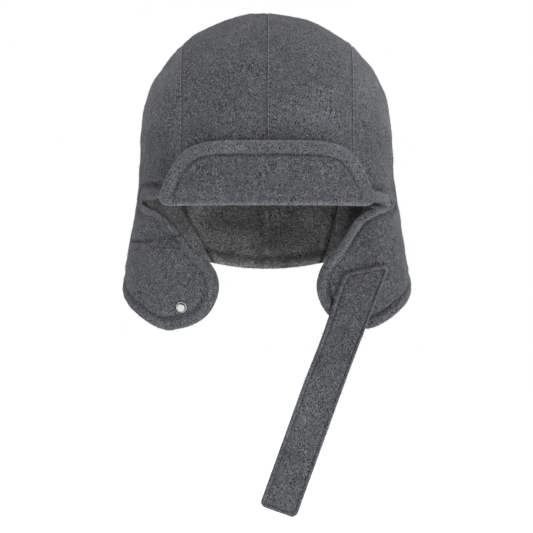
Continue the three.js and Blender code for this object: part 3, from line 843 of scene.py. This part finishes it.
STRAP_WIDTH = 25
STRAP_LENGTH = 166
STRAP_PADDING = 4
STRAP_CORNER = 4.0
STRAP_ROLL = 1.7
STRAP_TILT = math.radians(19.9)
STRAP_END_TURN = math.radians(8)
# From here on it bends off the flap until it hangs free
STRAP_BEND_FROM = 44
STRAP_BEND_OVER = 45
# Width and drop of the flap's point that it lies on, and how far its sewn end reaches above that
STRAP_SEAT = (56, 95, 20)
# Slant of the sewn end, and how far down the strap is square again
STRAP_SLANT = math.radians(27)
STRAP_SQUARE_FROM = 40


def strap_path(count):
    """Places along the strap, and its back face's points there with its away and across directions."""
    seat = on_face(STRAP_SEAT[0], WIDEST - STRAP_SEAT[1])
    flap_away = outward(seat)
    down = np.array([-math.sin(STRAP_TILT), 0, -math.cos(STRAP_TILT)])
    lean = -(down[0] * flap_away[0] + down[2] * flap_away[2]) / flap_away[1]

    def heading(past):
        bent = float(smooth(past - STRAP_BEND_FROM, 0, STRAP_BEND_OVER))
        v = down + np.array([0, lean * (1 - bent), 0])
        return v / np.linalg.norm(v), bent

    point = seat + flap_away * CLOTH_GAP - heading(0)[0] * STRAP_SEAT[2]
    step = 0.25
    steps = int(STRAP_LENGTH / step)
    facing = np.array([math.sin(STRAP_END_TURN), -math.cos(STRAP_END_TURN), 0])
    path = []
    for i in range(steps + 1):
        h, bent = heading(i * step)
        away = mix(flap_away, facing, bent)
        away = away - h * away.dot(h)
        away /= np.linalg.norm(away)
        slanted = 1 - float(smooth(i * step, 0, STRAP_SQUARE_FROM))
        path.append((point.copy(), away, np.cross(away, h) - h * slanted * math.tan(STRAP_SLANT)))
        point = point + heading((i + 0.5) * step)[0] * step
    at = np.arange(steps + 1) * step
    places = STRAP_LENGTH * spread(count, 200, 1.3)
    pick = [np.array([p[k] for p in path]) for k in range(3)]
    return places, [np.column_stack([np.interp(places, at, v[:, k]) for k in range(3)]) for v in pick]


def strap_piece(rows=240, columns=48):
    """The strap's front and back points, and how light they look."""
    places, (point, away, across) = strap_path(rows)
    t = spread(columns, 110, 1.4) * 2 - 1
    half = STRAP_WIDTH / 2
    past = np.clip(STRAP_CORNER - np.minimum(places, STRAP_LENGTH - places), 0, STRAP_CORNER)
    inset = STRAP_CORNER - np.sqrt(STRAP_CORNER**2 - past**2)
    flare = mix(1.08, 1, smooth(places, 10, 75))
    wide = (half * flare - inset)[:, None] * t[None]
    length = np.broadcast_to(places[:, None], wide.shape)
    ends = np.minimum(length, STRAP_LENGTH - length)
    sides = (half * flare)[:, None] - np.abs(wide)
    dx, dy = STRAP_CORNER - sides, STRAP_CORNER - ends
    in_corner = STRAP_CORNER - np.hypot(np.maximum(dx, 0), np.maximum(dy, 0))
    d = np.where((dx > 0) & (dy > 0), in_corner, np.minimum(sides, ends))
    d = np.maximum(d, 0)
    full = rolled_edge(d, STRAP_ROLL)
    flat = np.stack([wide, length, np.zeros(wide.shape)], -1)
    # Creases across the strap, by their distance from the sewn end
    bent = -1.3 * bell(length - 128, 2.6) - 0.8 * bell(length - 62 + 0.5 * wide, 4.0)
    bent = bent - 0.7 * bell(length - 144 + 0.4 * wide, 3.0)
    bent = bent - 0.7 * bell(length - 98 - 0.6 * wide, 4.5) * smooth(wide, 0, 6)
    body = STRAP_PADDING + 0.5 * SOFT(flat) * smooth(d, 1, 6) + bent * smooth(d, 1, 5) * 0.8
    body = body - 0.7 * bell(d - 2.6, 0.6) + 0.35 * bell(d - 1.2, 0.8) + 0.08 * LUMPS(flat)
    middle = STRAP_PADDING * SEAM_RISE
    front = middle + (body - middle) * full
    back = middle * (1 - full)
    base = point[:, None] + across[:, None] * wide[..., None]
    # Darker towards the sewn end; painted shade in the stitched groove and the creases, and a painted
    # highlight along the edge
    tone = mix(0.68, 1.18, smooth(length, 15, 120))
    tone = tone - 0.4 * bell(d - 2.5, 0.5) + 0.65 * bell(d - 1.0, 0.7) + 0.2 * bent
    return base + away[:, None] * front[..., None], base + away[:, None] * back[..., None], tone


strap_out, strap_in, strap_tone = strap_piece()
strap = make("chin_strap_cloth", *layered(strap_out, strap_in), SHELL, [strap_tone, strap_tone])
finish_piece(strap, "shell_fleece", "chin_strap")

# Snap


def turned(name, profile, seat, away, replaced, sides=72, rings=60):
    """A metal piece turned from rows of radius and height over its seat."""
    angle = np.linspace(0, 2 * math.pi, sides, endpoint=False)
    profile = np.array(profile, float)
    way = np.concatenate([[0], np.cumsum(np.linalg.norm(np.diff(profile, axis=0), axis=1))])
    at = np.linspace(0, way[-1], rings)
    radius, height = (np.interp(at, way, profile[:, k]) for k in (0, 1))
    right = np.cross([0, 0, 1], away)
    right /= np.linalg.norm(right)
    up = np.cross(away, right)
    ring = np.cos(angle)[None, :, None] * right + np.sin(angle)[None, :, None] * up
    points = seat + radius[:, None, None] * ring + height[:, None, None] * away
    index = np.arange(rings * sides).reshape(rings, sides)
    nxt = np.roll(index, -1, axis=1)
    faces = np.stack([index[:-1], nxt[:-1], nxt[1:], index[1:]], -1).reshape(-1, 4)
    return finish_piece(make(name, points.reshape(-1, 3), faces, METAL), "snap_metal", replaced)


# Width and drop of the stud on the left flap, and the socket's distance from the strap's free end
STUD_SEAT = (54.2, 101.5)
SOCKET_FROM_END = 14
stud_seat = on_face(-STUD_SEAT[0], WIDEST - STUD_SEAT[1])
turned(
    "snap_stud_metal",
    [[0, 0], [3.2, 0], [3.45, 0.15], [3.5, 0.5], [3.4, 0.85], [2.95, 0.9], [2.9, 0.4], [2.6, 0.1],
     [2.45, 0.5], [2.65, 1.3], [2.7, 1.8], [2.5, 2.3], [2.1, 2.6], [1.8, 2.5], [0, 2.45]],
    stud_seat,
    outward(stud_seat),
    "snap_stud",
)
places, (points, aways, _) = strap_path(300)
k = int(np.argmin(np.abs(places - (STRAP_LENGTH - SOCKET_FROM_END))))
turned(
    "snap_socket_metal",
    [[0, 0], [5.0, 0], [5.25, 0.3], [5.3, 1.2], [5.0, 1.8], [4.2, 2.4], [3.6, 2.6], [3.1, 2.5],
     [3.0, 2.2], [3.0, 0.9], [2.8, 0.8], [0, 0.8]],
    points[k] - aways[k] * CLOTH_GAP,
    -aways[k],
    "snap_socket",
)

# Stitches


def stitches(name, line, away, pitch=3.1, length=2.3, radius=0.24):
    """Threads laid along a line of surface points, each a bent pin that dips in at both ends."""
    gaps = np.linalg.norm(np.diff(line, axis=0), axis=1)
    way = np.concatenate([[0], np.cumsum(gaps)])
    sides = 6
    rings = 6
    angle = np.linspace(0, 2 * math.pi, sides, endpoint=False)
    vertices, faces = [], []
    for start in np.arange(1.0, way[-1] - length, pitch):
        wobble = rng.uniform(-0.08, 0.08, 2)
        at = start + length * np.linspace(0, 1, rings)
        p = np.column_stack([np.interp(at, way, line[:, k]) for k in range(3)])
        n = np.column_stack([np.interp(at, way, away[:, k]) for k in range(3)])
        n /= np.linalg.norm(n, axis=1, keepdims=True)
        t = np.gradient(p, axis=0)
        t /= np.linalg.norm(t, axis=1, keepdims=True)
        b = np.cross(t, n)
        arch = np.sin(np.linspace(0, 1, rings) * math.pi)
        p = p + n * (0.34 * arch - 0.14)[:, None] + b * np.linspace(*wobble, rings)[:, None]
        r = radius * (0.55 + 0.45 * arch)
        base = len(vertices)
        for i in range(rings):
            for a in angle:
                vertices.append(p[i] + r[i] * (math.cos(a) * n[i] + math.sin(a) * b[i]))
        for i in range(rings - 1):
            for j in range(sides):
                a, c = base + i * sides + j, base + i * sides + (j + 1) % sides
                faces.append((a, c, c + sides, a + sides))
        faces.append(tuple(base + j for j in range(sides)))
        faces.append(tuple(base + (rings - 1) * sides + j for j in reversed(range(sides))))
    obj = make(name, vertices, faces, THREAD)
    return finish_piece(obj, "shell_fleece")


def line_at(grid, distance, from_last, rows=None):
    """The surface line at a distance from the grid's first or last column."""
    grid = grid[:, ::-1] if from_last else grid
    if rows is not None:
        grid = grid[rows]
    gaps = np.linalg.norm(np.diff(grid, axis=1), axis=2)
    way = np.concatenate([np.zeros((len(grid), 1)), np.cumsum(gaps, axis=1)], axis=1)
    points = []
    for w, row in zip(way, grid):
        points.append([np.interp(distance, w, row[:, k]) for k in range(3)])
    return np.array(points)


# Distance of the top stitching from the side seams and from the centre seam
SIDE_STITCHING = 1.5
CENTRE_STITCHING = 1.2
for label in ("left", "right"):
    flank = surfaces["side_panel", label]
    front_rows = np.arange(3, np.searchsorted(rows_at, FRONT_ROWS) - 2)
    back_rows = np.arange(3, np.searchsorted(rows_at, BACK_ROWS) - 2)
    front = line_at(flank, SIDE_STITCHING, False, front_rows)
    back = line_at(flank, SIDE_STITCHING, True, back_rows)
    line = np.vstack([front[::-1], back])
    stitches(f"side_seam_stitches_{label}", line, outward(line))
line = line_at(surfaces["crown_panel", "right"], CENTRE_STITCHING, False)[8:-8]
stitches("centre_seam_stitches", line, outward(line))

# Loose fibres of the pile


def pile(name, grids, count, material):
    """Single fibres that lie on the cloth: bent ribbons with a pointed tip."""
    cells = []
    for outer, inner in grids:
        a, b, c, d = outer[:-1, :-1], outer[1:, :-1], outer[1:, 1:], outer[:-1, 1:]
        lift = (outer - inner)[:-1, :-1]
        cells.append([v.reshape(-1, 3) for v in (a, b, c, d, lift)])
    a, b, c, d, lift = (np.vstack([cell[k] for cell in cells]) for k in range(5))
    normal = np.cross(c - a, d - b)
    area = np.linalg.norm(normal, axis=1)
    chosen = rng.choice(len(a), count, p=area / area.sum())
    u, v = rng.uniform(0, 1, (2, count, 1))
    a, b, c, d, lift, normal = (w[chosen] for w in (a, b, c, d, lift, normal))
    root = mix(mix(a, b, u), mix(d, c, u), v)
    normal = normal / np.linalg.norm(normal, axis=1, keepdims=True)
    normal *= np.sign((normal * lift).sum(1, keepdims=True))
    fall = np.array([0.0, -0.15, -1.0])
    down = fall - normal * (normal @ fall)[:, None]
    across = np.cross(normal, down)
    turn = 1.1 * BROAD(root * 2) + rng.normal(0, 0.9, count)
    way = down * np.cos(turn)[:, None] + across * np.sin(turn)[:, None]
    way /= np.maximum(np.linalg.norm(way, axis=1, keepdims=True), 1e-6)
    bend = np.cross(normal, way) * rng.normal(0, 0.35, (count, 1))
    length = rng.uniform(1.2, 3.2, (count, 1))
    middle = root + way * length * 0.5 + normal * rng.uniform(0.1, 0.42, (count, 1))
    tip = root + (way + bend) * length + normal * rng.uniform(0.0, 0.5, (count, 1))
    half = np.cross(normal, way) * rng.uniform(0.05, 0.13, (count, 1))
    start = root - normal * 0.15
    points = np.stack([start - half, start + half, middle + half, middle - half, tip], 1)
    base = 5 * np.arange(count)[:, None]
    quads = (base + [0, 1, 2, 3]).tolist()
    tips = (base + [3, 2, 4]).tolist()
    return finish_piece(make(name, points.reshape(-1, 3), quads + tips, material, weld=False), "shell_fleece")


PANEL_FIBRES = 26000
FRONT_FIBRES = 6000
for label in ("left", "right"):
    grids = [(surfaces[part, label], hidden[part, label]) for part in ("crown_panel", "side_panel")]
    pile(f"pile_{label}", grids, PANEL_FIBRES, FIBRE)
pile("pile_front", [(peak_out, peak_in), (strap_out, strap_in)], FRONT_FIBRES, FIBRE)

# Camera, light and floor


# The photo's scale at y = 0, its width in pixels, and the point (x, z) at its centre
PIXEL = 0.00065
PHOTO_WIDTH = 533
PHOTO_CENTRE = (-0.0003, -0.1601)
CAMERA_DISTANCE = 2.0
FLOOR_HEIGHT = -0.37
FLOOR_REACH = 3
# Share of the sky's light that falls on the hat, and what the camera sees of the sky
SKY_LIGHT = 0.45
SKY_SEEN = 1.0
# name, place, target, size, power
LIGHTS = (
    ("key", (1.1, -1.9, 0.0), (0, 0, -0.1), 0.9, 13),
    ("side", (1.8, -0.4, 0.3), (0, 0, -0.1), 1.0, 6),
    ("fill", (-1.3, -1.5, 0.0), (0, 0, -0.15), 1.2, 7),
    ("top", (0.3, 0.0, 1.6), (0, 0, 0), 1.2, 20),
)


def area_light(name, place, target, size, power):
    """A soft round light at a place, turned to its target."""
    light = bpy.data.lights.new(name, "AREA")
    light.shape = "DISK"
    light.size = size
    light.energy = power
    obj = bpy.data.objects.new(name, light)
    obj.location = place
    obj.rotation_euler = (Vector(target) - Vector(place)).to_track_quat("-Z", "Y").to_euler()
    bpy.context.scene.collection.objects.link(obj)


camera = bpy.data.cameras.new("camera")
camera.sensor_width = 36
camera.lens = camera.sensor_width * CAMERA_DISTANCE / (PHOTO_WIDTH * PIXEL)
camera.clip_end = 50
eye = bpy.data.objects.new("camera", camera)
eye.location = (PHOTO_CENTRE[0], -CAMERA_DISTANCE, PHOTO_CENTRE[1])
eye.rotation_euler = (math.pi / 2, 0, 0)
bpy.context.scene.collection.objects.link(eye)
bpy.context.scene.camera = eye
bpy.context.scene.view_settings.view_transform = "Standard"

for light in LIGHTS:
    area_light(*light)

world = bpy.data.worlds.new("world")
bpy.context.scene.world = world
world.use_nodes = True
sky = world.node_tree.nodes["Background"]
sky.inputs["Color"].default_value = (1, 1, 1, 1)
seen = world.node_tree.nodes.new("ShaderNodeLightPath")
strength = world.node_tree.nodes.new("ShaderNodeMapRange")
strength.inputs["To Min"].default_value = SKY_LIGHT
strength.inputs["To Max"].default_value = SKY_SEEN
world.node_tree.links.new(seen.outputs["Is Camera Ray"], strength.inputs["Value"])
world.node_tree.links.new(strength.outputs["Result"], sky.inputs["Strength"])

floor_material = bpy.data.materials.new("floor")
floor_material.use_nodes = True
floor_shader = floor_material.node_tree.nodes["Principled BSDF"]
floor_shader.inputs["Base Color"].default_value = (0.93, 0.93, 0.93, 1)
floor_shader.inputs["Roughness"].default_value = 0.9
floor_shader.inputs["Emission Color"].default_value = (1, 1, 1, 1)
floor_shader.inputs["Emission Strength"].default_value = 0.6
mesh = bpy.data.meshes.new("floor")
corners = [(-1, -1), (1, -1), (1, 1), (-1, 1)]
corners = [(FLOOR_REACH * x, FLOOR_REACH * y, FLOOR_HEIGHT) for x, y in corners]
mesh.from_pydata(corners, [], [(0, 1, 2, 3)])
mesh.materials.append(floor_material)
floor = bpy.data.objects.new("floor", mesh)
bpy.context.scene.collection.objects.link(floor)
